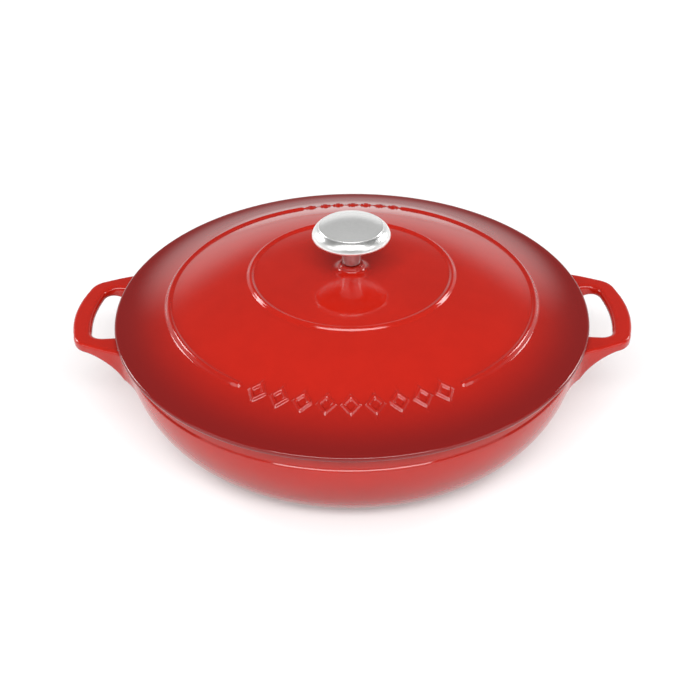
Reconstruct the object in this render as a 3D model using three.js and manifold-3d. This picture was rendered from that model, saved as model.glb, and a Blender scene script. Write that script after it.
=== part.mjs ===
// A shallow round casserole in enamelled cast iron: a pan with two cast-on loop handles,
// a domed lid that lifts off its rim, and a steel knob bolted through the lid's centre.
// Millimetres, +Z up. The origin is the centre of the pan's base, on the table.

import * as THREE from 'three';
import { mergeVertices } from 'three/addons/utils/BufferGeometryUtils.js';
import Module from 'manifold-3d';

const wasm = await Module();
wasm.setup();

// ---- driving dimensions ----

// Pan
const BASE_RADIUS = 112;            // flat that rests on the hob
const WALL_RADIUS = 149;            // outside of the wall, at the shoulder just under the rim
const RIM_RADIUS = 147.8;           // outside of the rim, set in above the shoulder
const SHOULDER_HEIGHT = 51.8;
const SHOULDER_RISE = 1.4;          // height over which the wall steps in to the rim
const RIM_TOP = 62.3;               // height of the seat that the lid rests on
const RIM_ROUNDING = 1.6;
const BASE_THICKNESS = 4.5;
const MOUTH_RADIUS = 144.4;         // inside of the rim

// Loop handles, cast in one with the rim
const HANDLE_REACH = 182.8;         // centre of the pan to the outermost point
const HANDLE_TOP = 60.2;
const HANDLE_THICKNESS = 6.8;
const HANDLE_ROUNDING = 2.2;
const HANDLE_HALF_WIDTH = 45.5;     // where a leg comes out from under the rim
const HANDLE_CORNER_HALF_WIDTH = 38.5;
const HANDLE_ROOT = 130;            // how far the handle's stock reaches into the wall
const GUSSET_BOTTOM = 42;           // where a leg's underside runs into the wall
const FINGER_GAP_HALF_WIDTH = 29.2;
const FINGER_GAP_ROOT_HALF_WIDTH = 28;              // where the gap meets the wall
const FINGER_GAP_REACH = 170.3;     // centre of the pan to the gap's outer side
const FINGER_GAP_CORNER = 9;

// Lid
const LID_RADIUS = 154;
const LID_EDGE_HEIGHT = 64.5;       // height of the lid's widest circle
const LID_NOSE = 1.8;               // radius of its rounded edge
const LID_THICKNESS = 4.2;
const CROWN_RISE = 28.4;            // centre of the dome above the widest circle
const CROWN_FULLNESS = 3.6;         // how flat the top of the dome is
const BRIM_FALL = 2.3;              // how long the dome runs out into a flatter brim
const LIP_RADIUS = 143.6;           // locating lip that drops inside the pan's mouth
const LIP_WIDTH = 4;
const LIP_BOTTOM = 57;
const BOSS_RADIUS = 7.7;
const BOSS_FLARE = 6;               // how far the boss's foot spreads out over the dome
const BOSS_RISE = 32.8;             // boss top above the widest circle
const SCREW_HOLE_RADIUS = 3.3;
const PAD_RADIUS = 11;              // flat under the crown for the washer
const PAD_DEPTH = 0.6;

// Raised decoration on the lid
const RIDGE_WIDTH = 5;
const RIDGE_HEIGHT = 1.6;
const INNER_RIDGE_RADIUS = 65;
const OUTER_RIDGE_RADIUS = 118.6;
const degrees = THREE.MathUtils.degToRad;
const FRONT_GAP = degrees(33.5);    // half angle of the outer ridge left free for the front motifs
const BACK_GAP = degrees(18);       // half angle left free for the back motifs
const FRONT_MOTIFS = { count: 9, pitch: degrees(6.9), length: 10, width: 8.6 };
const BACK_MOTIFS = { count: 7, pitch: degrees(4.9), length: 6, width: 5.5 };

// Knob, standing on the boss
const KNOB_RADIUS = 24.9;
const KNOB_TOP = LID_EDGE_HEIGHT + 63.4;
const KNOB_FACE_RADIUS = 20.4;
const KNOB_FACE_EDGE = LID_EDGE_HEIGHT + 59.4;      // height of the edge round the face
const KNOB_LOWER_EDGE = LID_EDGE_HEIGHT + 52;       // height of the rim's lower corner
const KNOB_UNDERSIDE = LID_EDGE_HEIGHT + 49.5;
const STEM_RADIUS_BOTTOM = 5.9;
const STEM_RADIUS_TOP = 7.8;
const STEM_SPIGOT_RADIUS = 5;       // part of the stem that is fixed inside the head
const STEM_SPIGOT_LENGTH = 8;
const SCREW_RADIUS = 2.7;
const SCREW_HEAD_RADIUS = 5.6;
const SCREW_HEAD_HEIGHT = 3;
const SCREW_SLOT = 1.4;             // width and depth of the driver slot
const WASHER_RADIUS = 8.5;
const WASHER_THICKNESS = 1.2;

const CLEARANCE = 0.3;              // gap left between pieces that touch

const CASTING_SEGMENTS = 72;
const KNOB_SEGMENTS = 32;

// ---- materials ----

const redEnamel = () => new THREE.MeshStandardMaterial({ color: 0xc4261e, roughness: 0.12, metalness: 0 });
const satinSteel = () => new THREE.MeshStandardMaterial({ color: 0xc9c9c7, roughness: 0.3, metalness: 1 });
const darkSteel = () => new THREE.MeshStandardMaterial({ color: 0x8d8b88, roughness: 0.25, metalness: 1 });

// ---- helpers ----

const point = (radius, height) => new THREE.Vector2(radius, height);

// Points along an elliptical arc in a profile, from one angle to another, in degrees.
function arc(centreR, centreZ, radiusR, radiusZ, from, to, steps) {
  const points = [];
  for (let i = 0; i <= steps; i++) {
    const angle = THREE.MathUtils.degToRad(from + (to - from) * i / steps);
    points.push(point(centreR + radiusR * Math.cos(angle), centreZ + radiusZ * Math.sin(angle)));
  }
  return points;
}

// Drops the attributes that keep shared corners apart, so that only the shape is left.
function joined(geometry) {
  geometry.deleteAttribute('normal');
  geometry.deleteAttribute('uv');
  return mergeVertices(geometry, 1e-4);
}

// A profile of radius and height, turned about the Z axis.
function turned(profile, segments) {
  const geometry = joined(new THREE.LatheGeometry(profile, segments));
  geometry.rotateX(Math.PI / 2);
  return geometry;
}

function solidFrom(geometry) {
  return new wasm.Manifold(new wasm.Mesh({
    numProp: 3,
    vertProperties: new Float32Array(geometry.attributes.position.array),
    triVerts: new Uint32Array(geometry.index.array),
  }));
}

function geometryFrom(solid) {
  const mesh = solid.getMesh();
  const geometry = new THREE.BufferGeometry();
  geometry.setAttribute('position', new THREE.BufferAttribute(mesh.vertProperties, 3));
  geometry.setIndex(new THREE.BufferAttribute(mesh.triVerts, 1));
  return geometry;
}

function piece(name, geometry, material) {
  geometry.computeVertexNormals();
  const mesh = new THREE.Mesh(geometry, material);
  mesh.name = name;
  return mesh;
}

// ---- pan ----

function bowlProfile() {
  const innerBase = BASE_RADIUS - 1;
  const innerCurve = MOUTH_RADIUS - innerBase;
  const lipRounding = 1;
  return [
    point(0, 0),
    ...arc(BASE_RADIUS, SHOULDER_HEIGHT, WALL_RADIUS - BASE_RADIUS, SHOULDER_HEIGHT, -90, 0, 9),
    point(RIM_RADIUS, SHOULDER_HEIGHT + SHOULDER_RISE),
    ...arc(RIM_RADIUS - RIM_ROUNDING, RIM_TOP - RIM_ROUNDING, RIM_ROUNDING, RIM_ROUNDING, 0, 90, 4),
    ...arc(MOUTH_RADIUS + lipRounding, RIM_TOP - lipRounding, lipRounding, lipRounding, 90, 180, 2),
    ...arc(innerBase, SHOULDER_HEIGHT, innerCurve, SHOULDER_HEIGHT - BASE_THICKNESS, 0, -90, 8),
    point(0, BASE_THICKNESS),
  ];
}

// An outline that is its own mirror image across the X axis, from the half of it at negative Y.
function mirrored(half, divisions) {
  const points = half.getPoints(divisions);
  const otherHalf = points.filter((p) => p.y < 0).reverse().map((p) => point(p.x, -p.y));
  return new THREE.Shape([...points, ...otherHalf]);
}

// Outline of a handle seen from above, on the +X side. Its legs flare where they meet the wall.
function handlePlan() {
  const cornerX = HANDLE_REACH - 3.8;
  const half = new THREE.Path();
  half.moveTo(HANDLE_ROOT, -HANDLE_HALF_WIDTH - 10.5);
  half.lineTo(HANDLE_ROOT + 7, -HANDLE_HALF_WIDTH - 8.5);
  half.quadraticCurveTo(WALL_RADIUS - 5, -HANDLE_HALF_WIDTH - 2.5, WALL_RADIUS + 3, -HANDLE_HALF_WIDTH);
  half.quadraticCurveTo(WALL_RADIUS + 11, -HANDLE_HALF_WIDTH + 2.5, cornerX - 10, -HANDLE_CORNER_HALF_WIDTH);
  half.quadraticCurveTo(
    cornerX - 1.5, -HANDLE_CORNER_HALF_WIDTH + 3, cornerX, -HANDLE_CORNER_HALF_WIDTH + 12.5,
  );
  half.quadraticCurveTo(HANDLE_REACH, -HANDLE_CORNER_HALF_WIDTH / 3, HANDLE_REACH, 0);
  return mirrored(half, 5);
}

// Outline of the gap for the fingers, seen from above. It reaches back into the pan's wall.
function fingerGapPlan() {
  const cornerX = FINGER_GAP_REACH - 2;
  const half = new THREE.Path();
  half.moveTo(MOUTH_RADIUS, -FINGER_GAP_ROOT_HALF_WIDTH);
  half.lineTo(cornerX - FINGER_GAP_CORNER, -FINGER_GAP_HALF_WIDTH);
  half.quadraticCurveTo(
    cornerX - 1, -FINGER_GAP_HALF_WIDTH, cornerX, -FINGER_GAP_HALF_WIDTH + FINGER_GAP_CORNER,
  );
  half.quadraticCurveTo(FINGER_GAP_REACH, -FINGER_GAP_HALF_WIDTH / 3, FINGER_GAP_REACH, 0);
  return mirrored(half, 5);
}

// Outline of a handle seen from the front: level on top, with the underside sweeping down to the wall.
function handleSideView() {
  const underside = HANDLE_TOP - HANDLE_THICKNESS;
  const above = HANDLE_TOP + 5;
  const below = GUSSET_BOTTOM - 6;
  const outer = HANDLE_REACH + 5;
  const side = new THREE.Shape();
  side.moveTo(HANDLE_ROOT, above);
  side.lineTo(HANDLE_ROOT, below);
  side.lineTo(WALL_RADIUS - 6, below);
  side.quadraticCurveTo(WALL_RADIUS + 12, underside, FINGER_GAP_REACH + 1, underside);
  side.lineTo(outer, underside);
  side.lineTo(outer, above);
  return side;
}

function handleSolid() {
  const depth = HANDLE_TOP - GUSSET_BOTTOM + 10;
  const fromAbove = new THREE.ExtrudeGeometry(handlePlan(), {
    depth: depth - HANDLE_ROUNDING,
    curveSegments: 6,
    bevelThickness: HANDLE_ROUNDING,
    bevelSize: HANDLE_ROUNDING,
    bevelOffset: -HANDLE_ROUNDING,
    bevelSegments: 2,
  });
  fromAbove.translate(0, 0, HANDLE_TOP - depth);

  const span = 2 * HANDLE_HALF_WIDTH + 30;
  const fromFront = new THREE.ExtrudeGeometry(handleSideView(), {
    depth: span,
    curveSegments: 6,
    bevelEnabled: false,
  });
  fromFront.rotateX(Math.PI / 2);
  fromFront.translate(0, span / 2, 0);

  const gap = new THREE.ExtrudeGeometry(fingerGapPlan(), {
    depth: 2 * depth,
    curveSegments: 6,
    bevelEnabled: false,
  });
  gap.translate(0, 0, HANDLE_TOP - 1.5 * depth);

  const bar = solidFrom(joined(fromAbove)).intersect(solidFrom(joined(fromFront)));
  return bar.subtract(solidFrom(joined(gap)));
}

// Fills the pan's inside and everything within its rim, so that a handle can be cut back to the wall.
function mouthSolid() {
  return solidFrom(turned([
    point(0, BASE_THICKNESS),
    point(MOUTH_RADIUS + 1.5, BASE_THICKNESS),
    point(MOUTH_RADIUS + 1.5, RIM_TOP + 10),
    point(0, RIM_TOP + 10),
  ], CASTING_SEGMENTS));
}

function casseroleBody() {
  const handle = handleSolid().subtract(mouthSolid());
  const pan = solidFrom(turned(bowlProfile(), CASTING_SEGMENTS));
  return geometryFrom(pan.add(handle).add(handle.rotate([0, 0, 180])));
}

// ---- lid ----

// Height of the lid's outer skin above its widest circle, at a distance from the centre.
function domeRise(radius) {
  const flank = 1 - Math.pow(radius / LID_RADIUS, CROWN_FULLNESS);
  return LID_NOSE + (CROWN_RISE - LID_NOSE) * Math.pow(flank, BRIM_FALL);
}

const domeTop = (radius) => point(radius, LID_EDGE_HEIGHT + domeRise(radius));
const domeUnderside = (radius) => point(radius, LID_EDGE_HEIGHT + domeRise(radius) - LID_THICKNESS);

// A low rounded bead standing on the dome, seen in profile from its outer foot to its inner foot.
function ridgeProfile(ridgeRadius) {
  const points = [];
  for (const step of [1, 0.5, 0, -0.5, -1]) {
    const foot = domeTop(ridgeRadius + step * RIDGE_WIDTH / 2);
    foot.y += RIDGE_HEIGHT * (1 - step * step);
    points.push(foot);
  }
  return points;
}

const padHeight = domeUnderside(PAD_RADIUS).y - PAD_DEPTH;

function lidProfile() {
  const lipInner = LIP_RADIUS - LIP_WIDTH;
  const lipChamfer = 1;
  const seat = LID_EDGE_HEIGHT - LID_NOSE;
  const bossTop = LID_EDGE_HEIGHT + BOSS_RISE;
  const bossRounding = 1.2;
  const bossFoot = domeTop(BOSS_RADIUS + BOSS_FLARE);
  const flareHeight = bossTop - bossRounding - bossFoot.y;
  const start = point(SCREW_HOLE_RADIUS, padHeight);
  return [
    start,
    point(PAD_RADIUS, padHeight),
    ...[22, 50, 80, 105, 125].map(domeUnderside),
    point(lipInner, LID_EDGE_HEIGHT - LID_NOSE + 0.5),
    point(lipInner, LIP_BOTTOM + lipChamfer),
    point(lipInner + lipChamfer, LIP_BOTTOM),
    point(LIP_RADIUS - lipChamfer, LIP_BOTTOM),
    point(LIP_RADIUS, LIP_BOTTOM + lipChamfer),
    point(LIP_RADIUS, seat),
    ...arc(LID_RADIUS - LID_NOSE, LID_EDGE_HEIGHT, LID_NOSE, LID_NOSE, -90, 90, 6),
    ...[143, 134, 126, 119, 107, 94, 82, 73].map(domeTop),
    ...ridgeProfile(INNER_RIDGE_RADIUS),
    ...[50, 32].map(domeTop),
    ...arc(BOSS_RADIUS + BOSS_FLARE, bossFoot.y + flareHeight, BOSS_FLARE, flareHeight, 270, 180, 3),
    ...arc(BOSS_RADIUS - bossRounding, bossTop - bossRounding, bossRounding, bossRounding, 0, 90, 2),
    point(SCREW_HOLE_RADIUS, bossTop),
    start.clone(),
  ];
}

// Stretch of the interrupted outer ridge, centred on the given direction.
function ridgeArc(centreAngle, halfAngle) {
  const steps = 20;
  const stops = [];
  for (let i = 0; i <= steps; i++) {
    const angle = centreAngle - halfAngle + 2 * halfAngle * i / steps;
    stops.push(new THREE.Vector3(Math.cos(angle), Math.sin(angle), 0).multiplyScalar(OUTER_RIDGE_RADIUS));
  }
  const sunk = 2;
  const section = new THREE.Shape([
    point(RIDGE_HEIGHT, 0),
    point(RIDGE_HEIGHT * 0.7, RIDGE_WIDTH * 0.3),
    point(-0.2, RIDGE_WIDTH / 2),
    point(-sunk, RIDGE_WIDTH / 2),
    point(-sunk, -RIDGE_WIDTH / 2),
    point(-0.2, -RIDGE_WIDTH / 2),
    point(RIDGE_HEIGHT * 0.7, -RIDGE_WIDTH * 0.3),
  ]);
  return new THREE.ExtrudeGeometry(section, {
    steps,
    bevelEnabled: false,
    extrudePath: new THREE.CatmullRomCurve3(stops),
  });
}

// A raised lozenge, longer along the lid's radius than across it, with sloping sides.
function lozenge(length, width) {
  const sunk = 2;
  const shape = new THREE.Shape([
    point(length / 2, 0),
    point(0, width / 2),
    point(-length / 2, 0),
    point(0, -width / 2),
  ]);
  const raised = new THREE.ExtrudeGeometry(shape, {
    depth: sunk,
    bevelThickness: RIDGE_HEIGHT,
    bevelSize: 1,
    bevelOffset: -1,
    bevelSegments: 1,
  });
  raised.translate(0, 0, -sunk);
  return raised;
}

// A row of lozenges that fills a gap in the outer ridge, laid on the slope of the dome.
function motifRow(centreAngle, { count, pitch, length, width }) {
  const reach = length / 2;
  const slope = Math.atan2(domeRise(OUTER_RIDGE_RADIUS - reach) - domeRise(OUTER_RIDGE_RADIUS + reach), length);
  const row = [];
  for (let i = 0; i < count; i++) {
    const motif = lozenge(length, width);
    motif.rotateY(slope);
    motif.translate(OUTER_RIDGE_RADIUS, 0, domeTop(OUTER_RIDGE_RADIUS).y);
    motif.rotateZ(centreAngle + (i - (count - 1) / 2) * pitch);
    row.push(solidFrom(joined(motif)));
  }
  return row;
}

function lid() {
  const front = -Math.PI / 2;
  const back = Math.PI / 2;
  const ridgeHalfAngle = (Math.PI - FRONT_GAP - BACK_GAP) / 2;
  const ridgeMiddle = front + FRONT_GAP + ridgeHalfAngle;
  const raised = [...motifRow(front, FRONT_MOTIFS), ...motifRow(back, BACK_MOTIFS)];
  for (const middle of [ridgeMiddle, Math.PI - ridgeMiddle]) {
    const bead = ridgeArc(middle, ridgeHalfAngle);
    bead.translate(0, 0, domeTop(OUTER_RIDGE_RADIUS).y);
    raised.push(solidFrom(joined(bead)));
  }
  const shell = solidFrom(turned(lidProfile(), CASTING_SEGMENTS));
  return geometryFrom(raised.reduce((body, detail) => body.add(detail), shell));
}

// ---- knob and its fixing ----

const spigotTop = KNOB_UNDERSIDE + STEM_SPIGOT_LENGTH;
const stemBottom = LID_EDGE_HEIGHT + BOSS_RISE + CLEARANCE;
const boreTop = spigotTop - 2;
const washerTop = padHeight - CLEARANCE;
const screwHeadTop = washerTop - WASHER_THICKNESS - CLEARANCE;

function knobHead() {
  const socket = STEM_SPIGOT_RADIUS + CLEARANCE;
  const corner = 1;
  const side = new THREE.QuadraticBezierCurve(
    point(KNOB_RADIUS, KNOB_LOWER_EDGE + corner),
    point(KNOB_RADIUS - 0.6, KNOB_FACE_EDGE - 2.6),
    point(KNOB_FACE_RADIUS, KNOB_FACE_EDGE),
  );
  return turned([
    point(0, spigotTop + CLEARANCE),
    point(socket, spigotTop + CLEARANCE),
    point(socket, KNOB_UNDERSIDE),
    point(STEM_RADIUS_TOP + 0.4, KNOB_UNDERSIDE),
    point(KNOB_RADIUS * 0.75, KNOB_UNDERSIDE + 1.2),
    ...arc(KNOB_RADIUS - corner, KNOB_LOWER_EDGE + corner, corner, corner, -80, -20, 2),
    ...side.getPoints(5),
    ...arc(0, KNOB_FACE_EDGE, KNOB_FACE_RADIUS, KNOB_TOP - KNOB_FACE_EDGE, 20, 90, 5),
  ], KNOB_SEGMENTS);
}

function knobStem() {
  const bore = SCREW_RADIUS + CLEARANCE;
  const shoulder = KNOB_UNDERSIDE - CLEARANCE;
  return turned([
    point(0, boreTop),
    point(bore, boreTop),
    point(bore, stemBottom),
    point(STEM_RADIUS_BOTTOM - 0.8, stemBottom),
    point(STEM_RADIUS_BOTTOM, stemBottom + 0.8),
    point(STEM_RADIUS_TOP, shoulder),
    point(STEM_SPIGOT_RADIUS, shoulder),
    point(STEM_SPIGOT_RADIUS, spigotTop),
    point(0, spigotTop),
  ], KNOB_SEGMENTS);
}

// Pan-head screw with a straight slot, driven up from inside the lid.
function knobScrew() {
  const headBottom = screwHeadTop - SCREW_HEAD_HEIGHT;
  const body = solidFrom(turned([
    point(0, headBottom),
    point(SCREW_HEAD_RADIUS - 1.4, headBottom),
    point(SCREW_HEAD_RADIUS, headBottom + 1.4),
    point(SCREW_HEAD_RADIUS, screwHeadTop),
    point(SCREW_RADIUS, screwHeadTop),
    point(SCREW_RADIUS, boreTop - 2),
    point(SCREW_RADIUS - 0.8, boreTop - 1),
    point(0, boreTop - 1),
  ], KNOB_SEGMENTS));
  const slot = new THREE.BoxGeometry(4 * SCREW_HEAD_RADIUS, SCREW_SLOT, 2 * SCREW_SLOT);
  slot.translate(0, 0, headBottom);
  return geometryFrom(body.subtract(solidFrom(joined(slot))));
}

function knobWasher() {
  const hole = SCREW_RADIUS + CLEARANCE;
  const bottom = washerTop - WASHER_THICKNESS;
  return turned([
    point(hole, bottom),
    point(WASHER_RADIUS, bottom),
    point(WASHER_RADIUS, washerTop),
    point(hole, washerTop),
    point(hole, bottom),
  ], KNOB_SEGMENTS);
}

// ---- assembly ----

const casserole = new THREE.Group();
casserole.add(piece('casserole_body', casseroleBody(), redEnamel()));

const lidAssembly = new THREE.Group();
lidAssembly.add(piece('lid', lid(), redEnamel()));
lidAssembly.add(piece('knob_head', knobHead(), satinSteel()));
lidAssembly.add(piece('knob_stem', knobStem(), darkSteel()));
lidAssembly.add(piece('knob_screw', knobScrew(), darkSteel()));
lidAssembly.add(piece('knob_washer', knobWasher(), darkSteel()));
casserole.add(lidAssembly);

export default casserole;
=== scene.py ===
"""A shallow round casserole in red enamelled cast iron, with a domed lid and a steel knob.

Shapes are worked out in millimetres, in the frame's own axes, and every mesh is written in metres.
"""

import math

import bmesh
import bpy
import numpy as np
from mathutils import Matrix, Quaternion, Vector


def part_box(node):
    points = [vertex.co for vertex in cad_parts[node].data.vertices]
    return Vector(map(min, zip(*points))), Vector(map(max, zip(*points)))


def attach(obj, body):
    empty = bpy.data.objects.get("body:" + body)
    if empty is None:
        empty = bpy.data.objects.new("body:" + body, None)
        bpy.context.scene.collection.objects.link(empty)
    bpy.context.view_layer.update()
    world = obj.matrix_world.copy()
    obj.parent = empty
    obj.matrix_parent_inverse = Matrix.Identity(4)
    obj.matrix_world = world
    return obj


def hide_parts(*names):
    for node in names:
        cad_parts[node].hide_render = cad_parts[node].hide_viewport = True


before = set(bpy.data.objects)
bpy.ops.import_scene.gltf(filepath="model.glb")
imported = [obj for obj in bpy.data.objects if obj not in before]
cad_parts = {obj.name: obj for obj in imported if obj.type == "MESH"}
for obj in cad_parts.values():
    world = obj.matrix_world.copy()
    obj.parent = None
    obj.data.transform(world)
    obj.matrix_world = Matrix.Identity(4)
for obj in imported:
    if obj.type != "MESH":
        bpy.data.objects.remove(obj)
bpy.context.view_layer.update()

MM = 0.001


def node_box(node):
    """Lowest and highest corner of a CAD node, in millimetres."""
    low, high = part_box(node)
    return low / MM, high / MM


# ---- sizes read from the frame ----

PAN_HIGH = node_box("casserole_body")[1]
LID_LOW, LID_HIGH = node_box("lid")
HEAD_LOW, HEAD_HIGH = node_box("knob_head")
STEM_LOW, STEM_HIGH = node_box("knob_stem")
SCREW_LOW, SCREW_HIGH = node_box("knob_screw")
WASHER_LOW, WASHER_HIGH = node_box("knob_washer")

# ---- the pan's own sizes ----

HANDLE_REACH = PAN_HIGH.x
RIM_TOP = PAN_HIGH.z
BASE_RADIUS = 112
WALL_RADIUS = 149
RIM_RADIUS = 147.8
SHOULDER_HEIGHT = 51.8
SHOULDER_RISE = 1.1
RIM_ROUNDING = 1.6
BASE_THICKNESS = 4.5
MOUTH_RADIUS = 144.4
MOUTH_ROUNDING = 1.0

HANDLE_TOP = RIM_TOP - 2.1
HANDLE_THICKNESS = 6.8
HANDLE_ROUNDING = 2.0
HANDLE_FILLET = 4.5
HANDLE_HALF_WIDTH = 45.5
HANDLE_ROOT = 130                # the handles start this far out, hidden inside the wall
CORNER_REACH = HANDLE_REACH - 3.8
CORNER_HALF_WIDTH = 38.5
GAP_REACH = 170.3
GAP_HALF_WIDTH = 29.2
GAP_ROOT_HALF_WIDTH = 28
GAP_CORNER = 9
GAP_ROUNDING = 3.2
GUSSET_DEPTH = 21
UNDERSIDE_BEND = 156             # the underside would turn here if it were not curved
UNDERSIDE_REACH = 170            # from here outwards the underside is level

# ---- the lid's own sizes ----

LID_RADIUS = LID_HIGH.x
LID_NOSE = 1.8
LID_EDGE = RIM_TOP + 2.2         # the height of the lid's widest circle
LID_THICKNESS = 4.2
CROWN_RISE = 28.4
CROWN_FULLNESS = 3.6
BRIM_FALL = 2.3
LIP_RADIUS = 143.6
LIP_WIDTH = 4
BOSS_RADIUS = 8.0
BOSS_FLARE = 6
HOLE_RADIUS = 3.3
PAD_RADIUS = 11
HOLE_CHAMFER = 0.4
EDGE_ROUNDING = 1.6
BOSS_ROUNDING = 1.2

RIDGE_WIDTH = 5
RIDGE_HEIGHT = 1.6
RIDGE_SHARPNESS = 1.4
MOTIF_HEIGHT = 1.5
INNER_RIDGE = 65
OUTER_RIDGE = 118.6
FRONT_GAP = math.radians(33.5)
BACK_GAP = math.radians(18)
FRONT_MOTIFS = {"count": 9, "pitch": math.radians(6.75), "length": 10.5, "width": 9, "stroke": 2.8}
BACK_MOTIFS = {"count": 7, "pitch": math.radians(4.9), "length": 6.5, "width": 5.8, "stroke": 2.0}

FRONT = -math.pi / 2
BACK = math.pi / 2

# ---- the knob's own sizes ----

KNOB_FACE_RADIUS = 20.4
KNOB_FACE_DEPTH = 4.0            # from the knob's top down to the edge round its face
KNOB_RIM_DEPTH = 11.4            # from the knob's top down to the lower corner of its rim
KNOB_CORNER = 1.0
FACE_EDGE_ROUNDING = 0.5
SOCKET_RADIUS = 5.3              # the recess under the knob that takes the neck's spigot
COLLAR_RADIUS = 8.4              # the flat ring round that recess
SPIGOT_RADIUS = 5.0
NECK_FOOT_RADIUS = 5.9
NECK_FOOT_ROUNDING = 0.8
BORE_RADIUS = 3.0
SCREW_HEAD_HEIGHT = 3
SCREW_HEAD_ROUNDING = 1.6
SHANK_RADIUS = 2.7
THREAD_PITCH = 0.8
THREAD_DEPTH = 0.25
SLOT_WIDTH = 1.4
SLOT_DEPTH = 1.4
WASHER_HOLE_RADIUS = 3.0
WASHER_CHAMFER = 0.25
CLEARANCE = 0.3                  # between one piece of the knob and the next

# ---- how finely the meshes are cut ----

KNOB_ANGLES = np.linspace(-math.pi, math.pi, 128, endpoint=False)
PAST_AXIS = -40                  # outlines of turned shapes run on past the axis, to leave no edge on it

# ---- the place of each material on the pan and on the lid ----

OUTSIDE, INSIDE, BARE = 0, 1, 2


# ---- mesh helpers ----

def arc(centre, radii, start, end, steps):
    """Points along an elliptical arc, from one angle to another, in degrees."""
    angles = np.radians(np.linspace(start, end, steps + 1))
    return np.stack([centre[0] + radii[0] * np.cos(angles), centre[1] + radii[1] * np.sin(angles)], 1)


def curve(start, control, end, steps=8):
    """Points along a quadratic curve."""
    t = np.linspace(0, 1, steps + 1)[:, None]
    return (1 - t) ** 2 * np.array(start) + 2 * t * (1 - t) * np.array(control) + t ** 2 * np.array(end)


def line(*points):
    """The points as they are given, for runs of straight edges."""
    return np.array(points, float)


def make_piece(name, points, faces, body, replaces=()):
    """A smooth-shaded mesh object that rides on a body. The points are in millimetres."""
    mesh = bpy.data.meshes.new(name)
    mesh.from_pydata((np.asarray(points) * MM).tolist(), [], [list(face) for face in faces])
    work = bmesh.new()
    work.from_mesh(mesh)
    bmesh.ops.recalc_face_normals(work, faces=work.faces)
    for face in work.faces:
        face.smooth = True
    work.to_mesh(mesh)
    work.free()
    piece = bpy.data.objects.new(name, mesh)
    bpy.context.scene.collection.objects.link(piece)
    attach(piece, body)
    if replaces:
        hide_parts(*replaces)
    return piece


def revolve(profile, angles, relief=None, closed=False):
    """Points and faces of a profile of radius and height, turned about the Z axis.

    A profile starts and ends on the axis, or is closed on itself. relief(x, y, row) lifts its points.
    """
    points, rings = [], []
    for row, (radius, height) in enumerate(profile):
        if radius < 1e-6:
            rings.append([len(points)] * len(angles))
            points.append((0.0, 0.0, height))
            continue
        x = radius * np.cos(angles)
        y = radius * np.sin(angles)
        z = np.full(len(angles), float(height))
        if relief is not None:
            z = z + relief(x, y, row)
        rings.append(list(range(len(points), len(points) + len(angles))))
        points.extend(zip(x.tolist(), y.tolist(), z.tolist()))
    faces = []
    pairs = list(zip(rings, rings[1:]))
    if closed:
        pairs.append((rings[-1], rings[0]))
    for lower, upper in pairs:
        for i in range(len(angles)):
            j = (i + 1) % len(angles)
            corners = [lower[i], lower[j], upper[j], upper[i]]
            face = [c for n, c in enumerate(corners) if c != corners[n - 1]]
            if len(face) > 2:
                faces.append(face)
    return np.array(points), faces


def signed_field(outline, margin=14, cell=0.4):
    """A function that gives the signed distance to a closed outline, below 0 inside it."""
    low = outline.min(0) - margin
    high = outline.max(0) + margin
    u = np.arange(low[0], high[0] + cell, cell)
    v = np.arange(low[1], high[1] + cell, cell)
    grid_u, grid_v = np.meshgrid(u, v, indexing="ij")
    nearest = np.full(grid_u.shape, 1e9)
    inside = np.zeros(grid_u.shape, bool)
    for a, b in zip(outline, np.roll(outline, -1, 0)):
        edge = b - a
        along = ((grid_u - a[0]) * edge[0] + (grid_v - a[1]) * edge[1]) / max(edge @ edge, 1e-12)
        along = np.clip(along, 0, 1)
        gap = np.hypot(grid_u - a[0] - along * edge[0], grid_v - a[1] - along * edge[1])
        nearest = np.minimum(nearest, gap)
        if a[1] != b[1]:
            spans = (a[1] > grid_v) != (b[1] > grid_v)
            inside ^= spans & (grid_u < (b[0] - a[0]) * (grid_v - a[1]) / (b[1] - a[1]) + a[0])
    table = np.where(inside, -nearest, nearest)

    def distance(at_u, at_v):
        i = np.clip((at_u - low[0]) / cell, 0, len(u) - 1.001)
        j = np.clip((at_v - low[1]) / cell, 0, len(v) - 1.001)
        i0, j0 = i.astype(int), j.astype(int)
        s, t = i - i0, j - j0
        return ((1 - s) * (1 - t) * table[i0, j0] + s * (1 - t) * table[i0 + 1, j0]
                + (1 - s) * t * table[i0, j0 + 1] + s * t * table[i0 + 1, j0 + 1])

    return distance


def round_join(a, b, radius):
    """Signed distance of two solids joined with a fillet."""
    reach = np.hypot(np.maximum(radius - a, 0), np.maximum(radius - b, 0))
    return np.maximum(radius, np.minimum(a, b)) - reach


def round_overlap(a, b, radius):
    """Signed distance of what two solids share, with its edges rounded."""
    reach = np.hypot(np.maximum(radius + a, 0), np.maximum(radius + b, 0))
    return np.minimum(-radius, np.maximum(a, b)) + reach


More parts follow.
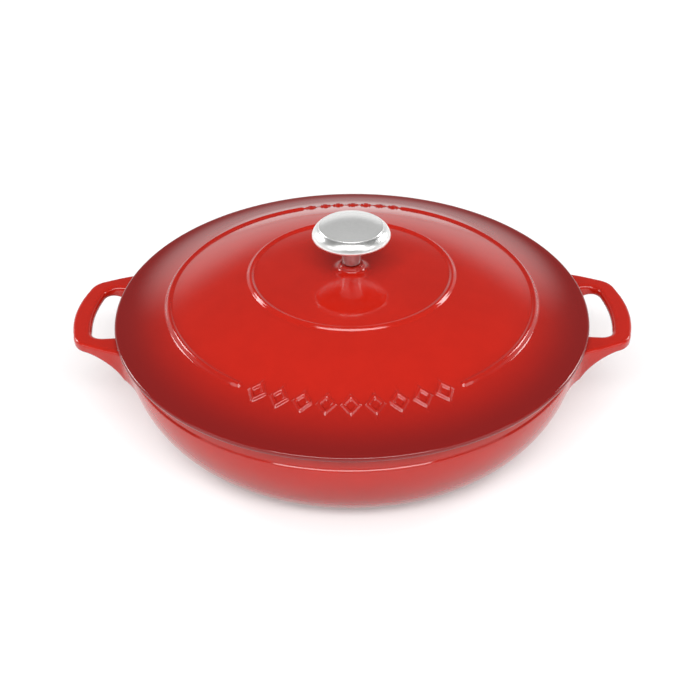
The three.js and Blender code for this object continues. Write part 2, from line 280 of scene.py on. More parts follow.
def surface_net(distance, angles, radii, heights):
    """Points and faces of the surface where distance(x, y, z) is 0, from cells round the Z axis.

    Each cell that the surface crosses gets one point, in the middle of the crossings on its edges.
    """
    angle, radius, height = np.meshgrid(angles, radii, heights, indexing="ij")
    nodes = np.stack([radius * np.cos(angle), radius * np.sin(angle), height], -1)
    value = distance(nodes[..., 0], nodes[..., 1], nodes[..., 2])
    nodes = np.concatenate([nodes, nodes[:1]])
    value = np.concatenate([value, value[:1]])
    cells = tuple(n - 1 for n in value.shape)
    total = np.zeros(cells + (3,))
    count = np.zeros(cells)
    crossings = []
    for axis in range(3):
        first = [slice(None)] * 3
        second = [slice(None)] * 3
        first[axis] = slice(0, -1)
        second[axis] = slice(1, None)
        a, b = value[tuple(first)], value[tuple(second)]
        i, j, k = np.nonzero((a < 0) != (b < 0))
        va, vb = a[i, j, k], b[i, j, k]
        t = (va / (va - vb))[:, None]
        where = nodes[tuple(first)][i, j, k] * (1 - t) + nodes[tuple(second)][i, j, k] * t
        others = [n for n in range(3) if n != axis]
        ring = []
        for step in ((-1, -1), (0, -1), (0, 0), (-1, 0)):
            cell = [i, j, k]
            cell[others[0]] = cell[others[0]] + step[0]
            cell[others[1]] = cell[others[1]] + step[1]
            cell[0] = cell[0] % cells[0]
            ring.append(cell)
        valid = np.ones(len(i), bool)
        for cell in ring:
            for n in (1, 2):
                valid &= (cell[n] >= 0) & (cell[n] < cells[n])
        if axis != 0:
            valid &= i < cells[0]
        for cell in ring:
            at = tuple(c[valid] for c in cell)
            np.add.at(total, at, where[valid])
            np.add.at(count, at, 1)
        crossings.append([tuple(c[valid] for c in cell) for cell in ring])
    used = count > 0
    number = np.full(cells, -1)
    number[used] = np.arange(used.sum())
    points = total[used] / count[used][:, None]
    faces = np.concatenate([np.stack([number[cell] for cell in ring], 1) for ring in crossings])
    return points, faces


def settle(points, distance, rounds=4):
    """Moves points onto the surface along its own slope."""
    step = 0.05
    least_slope = 0.3
    for _ in range(rounds):
        here = distance(*points.T)
        slope = np.stack([(distance(*(points + step * side).T) - here) / step for side in np.eye(3)], 1)
        points = points - slope * (here / np.maximum((slope ** 2).sum(1), least_slope))[:, None]
    return points


def uneven_angles(centres, half_width, fine, coarse):
    """Angles round the full circle, close together within half_width of each centre."""
    angles = []
    angle = -math.pi
    while angle < math.pi - fine / 2:
        angles.append(angle)
        off = [(angle - centre + math.pi) % (2 * math.pi) - math.pi for centre in centres]
        near = min(abs(turned) for turned in off) < half_width
        angle += fine if near else coarse
    return np.array(angles)


def spaced(*stretches):
    """Grid lines made of stretches (start, end, spacing) that follow on from each other."""
    lines = [np.arange(start, end - spacing * 0.5, spacing) for start, end, spacing in stretches]
    return np.concatenate(lines + [[stretches[-1][1]]])


# ---- the pan ----

def bowl_outline():
    """Outside of the bowl, filled in across the mouth: radius and height."""
    return np.concatenate([
        line((PAST_AXIS, 0)),
        arc((BASE_RADIUS, SHOULDER_HEIGHT), (WALL_RADIUS - BASE_RADIUS, SHOULDER_HEIGHT), -90, 0, 40),
        line((RIM_RADIUS, SHOULDER_HEIGHT + SHOULDER_RISE)),
        arc((RIM_RADIUS - RIM_ROUNDING, RIM_TOP - RIM_ROUNDING), (RIM_ROUNDING, RIM_ROUNDING), 0, 90, 12),
        line((PAST_AXIS, RIM_TOP)),
    ])


def cavity_outline():
    """The pan's inside, carried on above the rim: radius and height."""
    inner_flat = BASE_RADIUS - 1
    above_rim = RIM_TOP + 20
    curve_radii = (MOUTH_RADIUS - inner_flat, SHOULDER_HEIGHT - BASE_THICKNESS)
    return np.concatenate([
        line((PAST_AXIS, BASE_THICKNESS)),
        arc((inner_flat, SHOULDER_HEIGHT), curve_radii, -90, 0, 40),
        line((MOUTH_RADIUS, above_rim), (PAST_AXIS, above_rim)),
    ])


def both_sides(half):
    """An outline from the half of it on one side of the X axis, listed from that side's far end."""
    return np.concatenate([half, half[::-1] * (1, -1)])


def handle_outline():
    """A handle seen from above, its legs flaring into the wall: x and y."""
    side = -HANDLE_HALF_WIDTH
    corner_side = -CORNER_HALF_WIDTH
    leg = (WALL_RADIUS + 3, side)
    corner_start = (CORNER_REACH - 10, corner_side)
    corner_end = (CORNER_REACH, corner_side + 12.5)
    return both_sides(np.concatenate([
        line((HANDLE_ROOT, side - 15)),
        curve((WALL_RADIUS - 7, side - 6), (WALL_RADIUS - 3, side - 2), leg),
        curve(leg, (WALL_RADIUS + 11, side + 2.5), corner_start, 4)[1:],
        curve(corner_start, (CORNER_REACH - 1.5, corner_side + 3), corner_end, 12)[1:],
        curve(corner_end, (HANDLE_REACH, corner_side / 3), (HANDLE_REACH, 0), 12)[1:-1],
    ]))


def gap_outline():
    """The opening for the fingers seen from above: x and y."""
    side = GAP_REACH - 2
    corner_start = (side - GAP_CORNER, -GAP_HALF_WIDTH)
    corner_end = (side, -GAP_HALF_WIDTH + GAP_CORNER)
    return both_sides(np.concatenate([
        line((HANDLE_ROOT, -GAP_ROOT_HALF_WIDTH), (MOUTH_RADIUS, -GAP_ROOT_HALF_WIDTH)),
        curve(corner_start, (side - 1, -GAP_HALF_WIDTH), corner_end, 12),
        curve(corner_end, (GAP_REACH, -GAP_HALF_WIDTH / 3), (GAP_REACH, 0), 12)[1:-1],
    ]))


def handle_side_outline():
    """A handle seen from the front: level on top, its underside sweeping down to the wall. x and z."""
    underside = HANDLE_TOP - HANDLE_THICKNESS
    gusset = HANDLE_TOP - GUSSET_DEPTH
    root = WALL_RADIUS - 4
    past_end = HANDLE_REACH + 20
    return np.concatenate([
        line((HANDLE_ROOT, HANDLE_TOP), (HANDLE_ROOT, gusset)),
        curve((root, gusset), (UNDERSIDE_BEND, underside), (UNDERSIDE_REACH, underside), 16),
        line((past_end, underside), (past_end, HANDLE_TOP)),
    ])


def pan_distance():
    """Signed distance to the finished pan: the bowl and its two handles, less the hollow."""
    bowl = signed_field(bowl_outline())
    cavity = signed_field(cavity_outline())
    from_above = signed_field(handle_outline())
    from_front = signed_field(handle_side_outline())
    gap = signed_field(gap_outline())

    def distance(x, y, z):
        radius = np.hypot(x, y)
        solid = bowl(radius, z)
        along = np.abs(x)
        handle = round_overlap(from_above(along, y), from_front(along, z), HANDLE_ROUNDING)
        handle = round_overlap(handle, -gap(along, y), GAP_ROUNDING)
        solid = round_join(solid, handle, HANDLE_FILLET)
        return round_overlap(solid, -cavity(radius, z), MOUTH_ROUNDING)

    return distance


def close_flat_ends(piece):
    """Closes the two flat discs in the middle of the base, inside and underneath."""
    work = bmesh.new()
    work.from_mesh(piece.data)
    open_edges = [edge for edge in work.edges if edge.is_boundary]
    made = bmesh.ops.holes_fill(work, edges=open_edges, sides=0)
    for face in made["faces"]:
        face.smooth = True
    bmesh.ops.recalc_face_normals(work, faces=work.faces)
    work.to_mesh(piece.data)
    work.free()


def assign_by_place(piece, materials, choose):
    """Gives each face the material that choose(radius, height, lean) picks by its number in the list.

    Radius and height are of the face's middle, in millimetres. Lean is its normal's upward share.
    """
    for material in materials:
        piece.data.materials.append(material)
    polygons = piece.data.polygons
    centres = np.empty(len(polygons) * 3)
    normals = np.empty(len(polygons) * 3)
    polygons.foreach_get("center", centres)
    polygons.foreach_get("normal", normals)
    centres = centres.reshape(-1, 3) / MM
    picked = choose(np.hypot(centres[:, 0], centres[:, 1]), centres[:, 2], normals.reshape(-1, 3)[:, 2])
    polygons.foreach_set("material_index", picked.astype(np.int32))


def make_pan(outside, inside, bare_rim):
    """The pan, cut more finely round the handles and at the wall, the shoulder and the rim."""
    distance = pan_distance()
    angles = uneven_angles((0, math.pi), math.radians(24), math.radians(0.6), math.radians(1.25))
    radii = spaced((40, 108, 8), (108, 140, 2), (140, 153, 0.6), (153, HANDLE_REACH + 3, 1.1))
    low_heights = ((-1.3, 8, 0.8), (8, 35, 1.9), (35, 51, 0.9))
    heights = spaced(*low_heights, (51, 54.5, 0.25), (54.5, RIM_TOP + 2, 0.7))
    points, faces = surface_net(distance, angles, radii, heights)
    points = settle(points, distance)
    pan = make_piece("casserole_enamel", points, faces, "casserole", ("casserole_body",))
    close_flat_ends(pan)
    cavity = signed_field(cavity_outline())
    seat_end = RIM_RADIUS - 1.8
    seat_bottom = RIM_TOP - 0.9
    near_cavity = 0.5

    def choose(radius, height, lean):
        hollow = np.abs(cavity(radius, height)) < near_cavity
        seat = (radius > MOUTH_RADIUS) & (radius < seat_end) & (height > seat_bottom)
        return np.where(seat, BARE, np.where(hollow, INSIDE, OUTSIDE))

    assign_by_place(pan, (outside, inside, bare_rim), choose)


# ---- the lid ----

def dome(radius):
    """Height of the lid's outer skin at a distance from its centre."""
    flank = np.maximum(1 - (np.asarray(radius, float) / LID_RADIUS) ** CROWN_FULLNESS, 0)
    return LID_EDGE + LID_NOSE + (CROWN_RISE - LID_NOSE) * flank ** BRIM_FALL


def turn(x, y, angle):
    """Coordinates along and across a direction, from the lid's centre."""
    return x * math.cos(angle) + y * math.sin(angle), -x * math.sin(angle) + y * math.cos(angle)


def bead(gap):
    """Height of a rounded bead at a distance from its middle line."""
    share = np.clip(gap / (RIDGE_WIDTH / 2), 0, 1)
    return RIDGE_HEIGHT * np.cos(share * math.pi / 2) ** RIDGE_SHARPNESS


def ring_gap(x, y, ring, free_angles=()):
    """Distance to a ring's middle line, where some stretches of the ring are left out."""
    radius = np.hypot(x, y)
    angle = np.arctan2(y, x)
    gap = np.abs(radius - ring)
    for centre, half in free_angles:
        off = (angle - centre + math.pi) % (2 * math.pi) - math.pi
        past = np.maximum(half - np.abs(off), 0) * ring
        gap = np.hypot(gap, past)
    return gap


def lozenge(x, y, angle, length, width, stroke):
    """Height of a raised lozenge-shaped outline."""
    along, across = turn(x, y, angle)
    along = along - OUTER_RIDGE
    reach = np.abs(along) / (length / 2) + np.abs(across) / (width / 2)
    slope = math.hypot(2 / length, 2 / width)
    frame_gap = np.abs(reach - 1) / slope
    share = np.clip(frame_gap / (stroke / 2), 0, 1)
    return MOTIF_HEIGHT * np.cos(share * math.pi / 2)


def motif_row(x, y, centre, count, pitch, length, width, stroke):
    """Height of a row of lozenges, centred on a direction."""
    turns = [centre + (i - (count - 1) / 2) * pitch for i in range(count)]
    return np.max([lozenge(x, y, angle, length, width, stroke) for angle in turns], 0)


def decoration(x, y):
    """Height of everything raised on the lid's dome."""
    return np.max([
        bead(ring_gap(x, y, INNER_RIDGE)),
        bead(ring_gap(x, y, OUTER_RIDGE, ((FRONT, FRONT_GAP), (BACK, BACK_GAP)))),
        motif_row(x, y, FRONT, **FRONT_MOTIFS),
        motif_row(x, y, BACK, **BACK_MOTIFS),
    ], 0)


def lid_underside():
    """From the screw hole outwards, over the lip and round the edge: radius and height."""
    seat = LID_EDGE - LID_NOSE
    lip_inner = LIP_RADIUS - LIP_WIDTH
    lip_turn = LID_LOW.z + EDGE_ROUNDING
    lip_rounding = (EDGE_ROUNDING, EDGE_ROUNDING)
    pad = dome(PAD_RADIUS) - LID_THICKNESS - 0.6
    radii = np.linspace(PAD_RADIUS + 1, lip_inner - 5.6, 26)
    return np.concatenate([
        line((HOLE_RADIUS, LID_HIGH.z - HOLE_CHAMFER), (HOLE_RADIUS, pad + HOLE_CHAMFER)),
        line((HOLE_RADIUS + HOLE_CHAMFER, pad), (PAD_RADIUS, pad)),
        np.stack([radii, dome(radii) - LID_THICKNESS], 1),
        arc((lip_inner - 1.5, seat - 1.4), (1.5, 1.5), 60, 0, 4),
        arc((lip_inner + EDGE_ROUNDING, lip_turn), lip_rounding, 180, 270, 5),
        arc((LIP_RADIUS - EDGE_ROUNDING, lip_turn), lip_rounding, 270, 360, 5),
        arc((LIP_RADIUS + 1, seat - 1), (1, 1), 180, 90, 3),
        arc((LID_RADIUS - LID_NOSE, LID_EDGE), (LID_NOSE, LID_NOSE), -90, 84, 14),
    ])


def lid_skin():
    """The dome from its edge to the boss, with rows close together where it is decorated."""
    radii = np.concatenate([
        np.linspace(LID_RADIUS - LID_NOSE - 1.5, OUTER_RIDGE + 7, 12),
        np.arange(OUTER_RIDGE + 6, OUTER_RIDGE - 6.01, -0.5),
        np.linspace(OUTER_RIDGE - 8, INNER_RIDGE + 5, 15),
        np.arange(INNER_RIDGE + 3, INNER_RIDGE - 3.01, -0.4),
        np.linspace(INNER_RIDGE - 5, BOSS_RADIUS + BOSS_FLARE + 2, 14),
    ])
    return np.stack([radii, dome(radii)], 1)


def lid_boss():
    """From the flared foot of the boss to the edge of the screw hole."""
    top = LID_HIGH.z
    foot_radius = BOSS_RADIUS + BOSS_FLARE
    foot = dome(foot_radius)
    rise = top - BOSS_ROUNDING - foot
    return np.concatenate([
        arc((foot_radius, foot + rise), (BOSS_FLARE, rise), 270, 180, 12),
        arc((BOSS_RADIUS - BOSS_ROUNDING, top - BOSS_ROUNDING), (BOSS_ROUNDING, BOSS_ROUNDING), 0, 90, 6),
        line((HOLE_RADIUS + HOLE_CHAMFER, top)),
    ])


def make_lid(outside, inside, bare_rim):
    """The lid, cut more finely across its front, where the large lozenges are."""
    below = lid_underside()
    skin = lid_skin()
    skin_start = len(below)
    skin_end = skin_start + len(skin)

    def relief(x, y, row):
        if skin_start <= row < skin_end:
            return decoration(x, y)
        return 0

    fine_half_width = FRONT_GAP + 0.06
    angles = uneven_angles((FRONT,), fine_half_width, math.radians(0.28), math.radians(0.9))
    points, faces = revolve(np.concatenate([below, skin, lid_boss()]), angles, relief, closed=True)
    lid = make_piece("lid_enamel", points, faces, "lid", ("lid",))

    seat_middle = RIM_RADIUS - 1
    seat_half_width = 3
    faces_down = -0.4
    skin_depth = LID_THICKNESS * 0.6

    def choose(radius, height, lean):
        seat = (np.abs(radius - seat_middle) < seat_half_width) & (lean < faces_down)
        under = (radius < LIP_RADIUS + 0.5) & (height < dome(radius) - skin_depth)
        return np.where(seat, BARE, np.where(under, INSIDE, OUTSIDE))

    assign_by_place(lid, (outside, inside, bare_rim), choose)


# ---- the knob and its fixing ----

def make_knob_head(metal):
    """A mushroom head: a socket underneath, a flared side and a gently domed face."""
    radius = HEAD_HIGH.x
    underside = HEAD_LOW.z
    top = HEAD_HIGH.z
    socket = STEM_HIGH.z + CLEARANCE
    chamfer = 0.3
    face_edge = top - KNOB_FACE_DEPTH
    low_corner = top - KNOB_RIM_DEPTH + KNOB_CORNER
    side_bottom = (radius, low_corner + 0.4)
    side_bulge = (radius - 0.6, face_edge - 2.6)
    side_top = (KNOB_FACE_RADIUS + 0.2, face_edge - 0.2)
    edge_centre = (KNOB_FACE_RADIUS - 0.35, face_edge - FACE_EDGE_ROUNDING + 0.2)
    face_radii = np.linspace(KNOB_FACE_RADIUS - 0.8, 0, 32)
    face_heights = top - KNOB_FACE_DEPTH * (face_radii / KNOB_FACE_RADIUS) ** 2
    collar = (COLLAR_RADIUS, underside)
    profile = np.concatenate([
        line((0, socket), (SOCKET_RADIUS, socket), (SOCKET_RADIUS, underside + chamfer)),
        line((SOCKET_RADIUS + chamfer, underside), collar),
        curve(collar, (radius - 8, underside + 0.2), (radius - 1.6, low_corner - 0.9), 12)[1:],
        arc((radius - KNOB_CORNER, low_corner), (KNOB_CORNER, KNOB_CORNER), -75, -5, 8),
        curve(side_bottom, side_bulge, side_top, 20),
        arc(edge_centre, (FACE_EDGE_ROUNDING, FACE_EDGE_ROUNDING), 45, 70, 3),
        np.stack([face_radii, face_heights], 1),
    ])
    points, faces = revolve(profile, KNOB_ANGLES)
    head = make_piece("knob_cap", points, faces, "lid", ("knob_head",))
    head.data.materials.append(metal)


def make_knob_neck(metal):
    """A neck that widens upwards, bored for the screw, with a spigot that goes into the head."""
    shoulder = HEAD_LOW.z - CLEARANCE
    bottom = STEM_LOW.z
    top = STEM_HIGH.z
    flare = STEM_HIGH.x
    bore_end = top - 2
    chamfer = 0.3
    spigot_chamfer = 0.4
    foot_centre = (NECK_FOOT_RADIUS - NECK_FOOT_ROUNDING, bottom + NECK_FOOT_ROUNDING)
    waist = (flare - 0.6, shoulder - 2.5)
    profile = np.concatenate([
        line((0, bore_end), (BORE_RADIUS, bore_end), (BORE_RADIUS, bottom + chamfer)),
        line((BORE_RADIUS + chamfer, bottom)),
        arc(foot_centre, (NECK_FOOT_ROUNDING, NECK_FOOT_ROUNDING), -90, 0, 6),
        curve((NECK_FOOT_RADIUS, bottom + 1.2), (NECK_FOOT_RADIUS + 0.5, bottom + 9), waist, 12),
        curve(waist, (flare - 0.3, shoulder - 1), (flare, shoulder), 4)[1:],
        line((SPIGOT_RADIUS, shoulder), (SPIGOT_RADIUS, top - spigot_chamfer)),
        line((SPIGOT_RADIUS - spigot_chamfer, top), (0, top)),
    ])
    points, faces = revolve(profile, KNOB_ANGLES)
    neck = make_piece("knob_neck", points, faces, "lid", ("knob_stem",))
    neck.data.materials.append(metal)


def make_knob_bolt(metal):
    """A slotted screw, head down, whose shank is turned plain and then swelled into a thread."""
    head_bottom = SCREW_LOW.z
    head_top = head_bottom + SCREW_HEAD_HEIGHT
    head_radius = SCREW_HIGH.x
    head_flat = 3.4
    tip = SCREW_HIGH.z
    chamfer = 0.2
    head_centre = (head_radius - SCREW_HEAD_ROUNDING, head_bottom + SCREW_HEAD_ROUNDING)
    shank_heights = np.arange(head_top + 1.5, tip - 0.5, THREAD_PITCH / 6)
    shank_radii = np.full(len(shank_heights), SHANK_RADIUS - THREAD_DEPTH / 2)
    profile = np.concatenate([
        line((0, head_bottom), (head_flat, head_bottom)),
        arc(head_centre, (SCREW_HEAD_ROUNDING, SCREW_HEAD_ROUNDING), -70, 0, 8),
        line((head_radius, head_top - chamfer), (head_radius - chamfer, head_top)),
        line((SHANK_RADIUS, head_top)),
        np.stack([shank_radii, shank_heights], 1),
        line((SHANK_RADIUS - 0.5, tip), (0, tip)),
    ])
    points, faces = revolve(profile, KNOB_ANGLES[::2])
    x, y, z = points.T
    on_shank = (z > head_top + 1) & (z < tip - 0.6)
    turns = z / THREAD_PITCH - np.arctan2(y, x) / (2 * math.pi)
    swell = 1 + on_shank * (np.abs((turns % 1) * 2 - 1) - 0.5) * THREAD_DEPTH / SHANK_RADIUS
    points[:, :2] *= swell[:, None]
    bolt = make_piece("knob_bolt", points, faces, "lid", ("knob_screw",))
    cut_slot(bolt, (4 * head_radius, SLOT_WIDTH, 2 * SLOT_DEPTH), head_bottom)
    bolt.data.materials.append(metal)


def cut_slot(piece, size, height):
    """Cuts a box out of a piece, centred on the axis at a height. Leaves the piece without material."""
    mesh = bpy.data.meshes.new("slot_cutter")
    work = bmesh.new()
    bmesh.ops.create_cube(work, size=1)
    bmesh.ops.scale(work, vec=Vector(size) * MM, verts=work.verts)
    bmesh.ops.translate(work, vec=(0, 0, height * MM), verts=work.verts)
    work.to_mesh(mesh)
    work.free()
    cutter = bpy.data.objects.new("slot_cutter", mesh)
    bpy.context.scene.collection.objects.link(cutter)
    cut = piece.modifiers.new("slot", "BOOLEAN")
    cut.operation = "DIFFERENCE"
    cut.solver = "EXACT"
    cut.object = cutter
    view = bpy.context.evaluated_depsgraph_get()
    result = bpy.data.meshes.new_from_object(piece.evaluated_get(view))
    piece.modifiers.clear()
    piece.data = result
    piece.data.materials.clear()
    bpy.data.objects.remove(cutter)


def make_knob_washer(metal):
    """A flat ring with its four edges cut back a little."""
    bottom = WASHER_LOW.z
    top = WASHER_HIGH.z
    outer = WASHER_HIGH.x
    hole = WASHER_HOLE_RADIUS
    edge = WASHER_CHAMFER
    profile = line(
        (hole + edge, bottom), (outer - edge, bottom), (outer, bottom + edge), (outer, top - edge),
        (outer - edge, top), (hole + edge, top), (hole, top - edge), (hole, bottom + edge),
    )
    points, faces = revolve(profile, KNOB_ANGLES[::2], closed=True)
    washer = make_piece("knob_washer_ring", points, faces, "lid", ("knob_washer",))
    washer.data.materials.append(metal)


# ---- materials ----

NOISE_SPREAD = (0.3, 0.7)        # nearly all values of a noise lie between these
MIX_COLOUR_INPUTS = (0, 6, 7)    # the Mix node's factor, A and B when it mixes colours
MIX_COLOUR_OUTPUT = 2

RED = (0.43, 0.012, 0.005)
# The lid's own deeper red at its edge and in the specks; on the pan it is also used for painted shade
# towards the base.
DEEP_RED = (0.195, 0.007, 0.006)
SAND = (0.72, 0.62, 0.47)
WORN_BASE = (0.05, 0.02, 0.018)
GROUND_COAT = (0.016, 0.013, 0.012)
PALE_GROUND_COAT = (0.035, 0.026, 0.024)


def set_range(node, low, high, to_low, to_high):
    """Sets the ends of a Map Range node."""
    node.inputs["From Min"].default_value = low
    node.inputs["From Max"].default_value = high
    node.inputs["To Min"].default_value = to_low
    node.inputs["To Max"].default_value = to_high


class Nodes:
    """Builds one node material around its Principled shader.

    Each method adds nodes and returns a socket, or joins a socket to one of the shader's inputs.
    """

    def __init__(self, name):
        self.material = bpy.data.materials.new(name)
        self.material.use_nodes = True
        self.tree = self.material.node_tree
        self.shader = next(n for n in self.tree.nodes if n.type == "BSDF_PRINCIPLED")
        self.place = self.tree.nodes.new("ShaderNodeTexCoord").outputs["Object"]

    def link(self, source, target):
        self.tree.links.new(source, target)

    def set_or_link(self, socket, value):
        """Puts a number or a colour straight on a socket, and joins anything else to it."""
        if isinstance(value, (int, float)):
            socket.default_value = value
        elif isinstance(value, tuple):
            socket.default_value = (*value, 1)
        else:
            self.link(value, socket)

    def math(self, operation, a, b=0.0):
        """A sum on numbers or sockets. Operations on one value ignore b."""
        node = self.tree.nodes.new("ShaderNodeMath")
        node.operation = operation
        self.set_or_link(node.inputs[0], a)
        self.set_or_link(node.inputs[1], b)
        return node.outputs[0]

    def stretch(self, scale):
        """Object coordinates, multiplied along each axis."""
        node = self.tree.nodes.new("ShaderNodeMapping")
        node.inputs["Scale"].default_value = scale
        self.link(self.place, node.inputs["Vector"])
        return node.outputs[0]

    def noise(self, scale, detail, vector=None):
        node = self.tree.nodes.new("ShaderNodeTexNoise")
        node.inputs["Scale"].default_value = scale
        node.inputs["Detail"].default_value = detail
        self.link(vector or self.place, node.inputs["Vector"])
        return node.outputs["Fac"]

    def vary(self, noise, low_colour, high_colour):
        """A colour that a noise moves smoothly between two others."""
        node = self.tree.nodes.new("ShaderNodeValToRGB")
        node.color_ramp.interpolation = "EASE"
        stops = zip(node.color_ramp.elements, NOISE_SPREAD, (low_colour, high_colour))
        for element, place, colour in stops:
            element.position = place
            element.color = (*colour, 1)
        self.link(noise, node.inputs["Fac"])
        return node.outputs["Color"]

    def mix(self, factor, a, b):
        """The colour a where factor is 0, and b where it is 1."""
        node = self.tree.nodes.new("ShaderNodeMix")
        node.data_type = "RGBA"
        for number, value in zip(MIX_COLOUR_INPUTS, (factor, a, b)):
            self.set_or_link(node.inputs[number], value)
        return node.outputs[MIX_COLOUR_OUTPUT]

    def range(self, source, low, high, to_low=0.0, to_high=1.0):
        """Maps low..high smoothly to to_low..to_high, and holds the end values outside."""
        node = self.tree.nodes.new("ShaderNodeMapRange")
        node.interpolation_type = "SMOOTHSTEP"
        set_range(node, low, high, to_low, to_high)
        self.link(source, node.inputs["Value"])
        return node.outputs[0]

    def radius_and_height(self):
        """Distance from the Z axis, and height, in metres."""
        node = self.tree.nodes.new("ShaderNodeSeparateXYZ")
        self.link(self.place, node.inputs[0])
        x, y, z = node.outputs
        squares = self.math("ADD", self.math("MULTIPLY", x, x), self.math("MULTIPLY", y, y))
        return self.math("SQRT", squares), z

    def vary_roughness(self, noise, low, high):
        self.roughness(self.range(noise, *NOISE_SPREAD, low, high))

    def bump(self, height, strength, distance):
        node = self.tree.nodes.new("ShaderNodeBump")
        node.inputs["Strength"].default_value = strength
        node.inputs["Distance"].default_value = distance
        self.link(height, node.inputs["Height"])
        self.link(node.outputs[0], self.shader.inputs["Normal"])

    def colour(self, value):
        self.link(value, self.shader.inputs["Base Color"])

    def roughness(self, value):
        self.rough = value
        self.link(value, self.shader.inputs["Roughness"])


def scaled(colour, factor):
    """A colour with each channel multiplied."""
    return tuple(channel * factor for channel in colour)


def enamel(name, shade):
    """Gloss vitreous enamel. shade(nodes, red) may darken the red by place."""
    nodes = Nodes(name)
    mottled_red = nodes.vary(nodes.noise(70, 3), RED, scaled(RED, 1.05))
    specks = nodes.range(nodes.noise(1500, 1), 0.735, 0.78)
    speck_share = nodes.math("MULTIPLY", specks, 0.35)
    nodes.colour(nodes.mix(speck_share, shade(nodes, mottled_red), DEEP_RED))
    nodes.vary_roughness(nodes.noise(260, 2), 0.07, 0.13)
    small_waves = nodes.math("MULTIPLY", nodes.noise(620, 1), 0.2)
    nodes.bump(nodes.math("ADD", nodes.noise(160, 1), small_waves), 0.05, 0.0005)
    return nodes.material


def pan_red():
    """Red with painted shade that deepens towards the base, where the wall turns under, and worn patches
    on the face that the pan stands on.
    """
    def shade(nodes, red):
        _, height = nodes.radius_and_height()
        # Painted shade: the red darkens towards the base, where the lower wall turns under and gets less
        # light.
        low = nodes.range(height, 0.0, 0.056, 1, 0.05)
        colour = nodes.mix(nodes.math("MULTIPLY", low, 0.75), red, DEEP_RED)
        underneath = nodes.range(height, 0.0, 0.0006, 1, 0)
        worn = nodes.range(nodes.noise(240, 4), 0.42, 0.62)
        return nodes.mix(nodes.math("MULTIPLY", underneath, worn), colour, WORN_BASE)
    return enamel("pan_red_enamel", shade)


def lid_red():
    """Red that deepens from the outer ridge to the lid's edge."""
    def shade(nodes, red):
        radius, _ = nodes.radius_and_height()
        return nodes.mix(nodes.range(radius, 0.106, 0.150), red, DEEP_RED)
    return enamel("lid_red_enamel", shade)


def sand_enamel():
    """The pale enamel inside the pan and under the lid."""
    nodes = Nodes("sand_enamel")
    nodes.colour(nodes.vary(nodes.noise(90, 4), SAND, scaled(SAND, 0.93)))
    nodes.vary_roughness(nodes.noise(300, 2), 0.12, 0.2)
    nodes.bump(nodes.noise(220, 2), 0.25, 0.0005)
    return nodes.material


def matte_black():
    """The thin matte ground coat left on the two rims where they touch."""
    nodes = Nodes("rim_ground_coat")
    nodes.colour(nodes.vary(nodes.noise(500, 4), GROUND_COAT, PALE_GROUND_COAT))
    nodes.vary_roughness(nodes.noise(900, 2), 0.42, 0.6)
    nodes.bump(nodes.noise(1400, 3), 0.3, 0.0003)
    return nodes.material


def steel(name, tone, rough_low, rough_high):
    """Turned steel with fine brushing."""
    nodes = Nodes(name)
    brushed = nodes.noise(420, 2, nodes.stretch((1, 1, 6)))
    nodes.colour(nodes.vary(brushed, tone, scaled(tone, 1.03)))
    nodes.shader.inputs["Metallic"].default_value = 1.0
    nodes.vary_roughness(brushed, rough_low, rough_high)
    nodes.bump(brushed, 0.015, 0.0001)
    return nodes


def knob_steel():
    """Satin steel: the face is greyer than the side, which is a little rougher and fully metallic."""
    nodes = steel("satin_steel", (0.87, 0.87, 0.86), 0.22, 0.24)
    radius, _ = nodes.radius_and_height()
    side = nodes.range(radius, KNOB_FACE_RADIUS * MM, (KNOB_FACE_RADIUS + 0.8) * MM)
    face_share = nodes.math("MULTIPLY", nodes.rough, nodes.math("SUBTRACT", 1.0, side))
    nodes.roughness(nodes.math("ADD", face_share, nodes.math("MULTIPLY", side, 0.3)))
    nodes.link(nodes.range(side, 0, 1, 0.68, 1.0), nodes.shader.inputs["Metallic"])
    return nodes


# ---- studio ----

def make_floor():
    """A pale floor that glows faintly, and more so away from the object, so that it stays white."""
    mesh = bpy.data.meshes.new("floor")
    half = 6.0
    below_base = 0.0002
    corners = [(-half, -half, 0), (half, -half, 0), (half, half, 0), (-half, half, 0)]
    mesh.from_pydata(corners, [], [(0, 1, 2, 3)])
    floor = bpy.data.objects.new("floor", mesh)
    floor.location.z = -below_base
    bpy.context.scene.collection.objects.link(floor)
    material = bpy.data.materials.new("pale_floor")
    material.use_nodes = True
    tree = material.node_tree
    shader = next(n for n in tree.nodes if n.type == "BSDF_PRINCIPLED")
    shader.inputs["Base Color"].default_value = (0.7, 0.7, 0.7, 1)
    shader.inputs["Roughness"].default_value = 0.9
    shader.inputs["Specular IOR Level"].default_value = 0.0
    shader.inputs["Emission Color"].default_value = (1, 1, 1, 1)
    place = tree.nodes.new("ShaderNodeTexCoord")
    distance = tree.nodes.new("ShaderNodeVectorMath")
    distance.operation = "LENGTH"
    glow = tree.nodes.new("ShaderNodeMapRange")
    set_range(glow, 0.2, 0.9, 0.27, 0.48)
    tree.links.new(place.outputs["Object"], distance.inputs[0])
    tree.links.new(distance.outputs["Value"], glow.inputs["Value"])
    tree.links.new(glow.outputs[0], shader.inputs["Emission Strength"])
    mesh.materials.append(material)


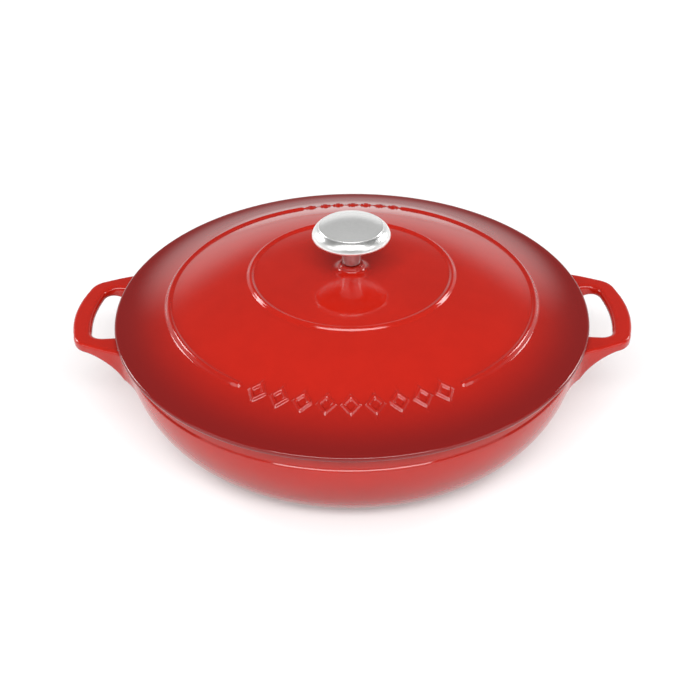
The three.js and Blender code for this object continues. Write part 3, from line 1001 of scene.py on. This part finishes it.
def make_sky():
    """A plain room: bright at the horizon behind and beside the object, grey overhead and in front."""
    world = bpy.data.worlds.new("studio")
    world.use_nodes = True
    bpy.context.scene.world = world
    tree = world.node_tree
    place = tree.nodes.new("ShaderNodeTexCoord")
    split = tree.nodes.new("ShaderNodeSeparateXYZ")
    tree.links.new(place.outputs["Generated"], split.inputs[0])

    def fade(axis, start, end, from_value, to_value):
        """A smooth change of brightness along an axis of the view direction, which runs from -1 to 1."""
        node = tree.nodes.new("ShaderNodeMapRange")
        node.interpolation_type = "SMOOTHSTEP"
        set_range(node, start, end, from_value, to_value)
        tree.links.new(split.outputs[axis], node.inputs["Value"])
        return node.outputs[0]

    product = tree.nodes.new("ShaderNodeMath")
    product.operation = "MULTIPLY"
    tree.links.new(fade("Z", 0.16, 0.46, 0.86, 0.17), product.inputs[0])
    tree.links.new(fade("Y", -0.7, -0.1, 0.55, 1.0), product.inputs[1])
    tree.links.new(product.outputs[0], tree.nodes["Background"].inputs["Color"])


def make_light(name, location, size, power, seen_in_gloss=True):
    """A soft rectangular lamp that faces the object."""
    aim = Vector((0, 0, 0.05))
    data = bpy.data.lights.new(name, "AREA")
    data.shape = "RECTANGLE"
    data.size, data.size_y = size
    data.energy = power
    lamp = bpy.data.objects.new(name, data)
    lamp.visible_glossy = seen_in_gloss
    lamp.location = location
    lamp.rotation_mode = "QUATERNION"
    lamp.rotation_quaternion = (aim - Vector(location)).to_track_quat("-Z", "Y")
    bpy.context.scene.collection.objects.link(lamp)


def make_camera():
    """Stands in front of the object and looks down on it by about 36 degrees."""
    turn_about = math.radians(0.45)
    location = Vector((0, -0.6044, 0.4642))
    target = Vector((-0.0013, -0.0504, 0.0645))
    roll = math.radians(-0.505)
    data = bpy.data.cameras.new("camera")
    data.sensor_width = 36
    data.lens = 56.57
    data.clip_start = 0.01
    data.clip_end = 50
    camera = bpy.data.objects.new("camera", data)
    camera.rotation_mode = "QUATERNION"
    aim = (target - location).to_track_quat("-Z", "Y") @ Quaternion((0, 0, 1), roll)
    spin = Quaternion((0, 0, 1), turn_about)
    camera.location = spin @ location
    camera.rotation_quaternion = spin @ aim
    bpy.context.scene.collection.objects.link(camera)
    bpy.context.scene.camera = camera


def make_studio():
    scene = bpy.context.scene
    scene.view_settings.view_transform = "Standard"
    make_floor()
    make_sky()
    make_light("top_fill", location=(0, -0.6, 1.5), size=(1.4, 1.2), power=10, seen_in_gloss=False)
    make_light("front", location=(0, -1.15, 1.48), size=(1.9, 0.5), power=25)
    for side in (-1, 1):
        make_light("side", location=(side * 1.04, 0.47, 0.62), size=(0.35, 0.35), power=4)
        make_light("front_side", location=(side * 1.25, -0.95, 0.85), size=(1.1, 0.45), power=3.5)
    make_camera()


# ---- everything ----

make_studio()

sand = sand_enamel()
ground_coat = matte_black()
make_pan(pan_red(), sand, ground_coat)
make_lid(lid_red(), sand, ground_coat)
make_knob_head(knob_steel().material)
make_knob_neck(steel("neck_steel", (0.56, 0.56, 0.56), 0.4, 0.46).material)
bolt_steel = steel("bolt_steel", (0.5, 0.5, 0.49), 0.2, 0.32).material
make_knob_bolt(bolt_steel)
make_knob_washer(bolt_steel)
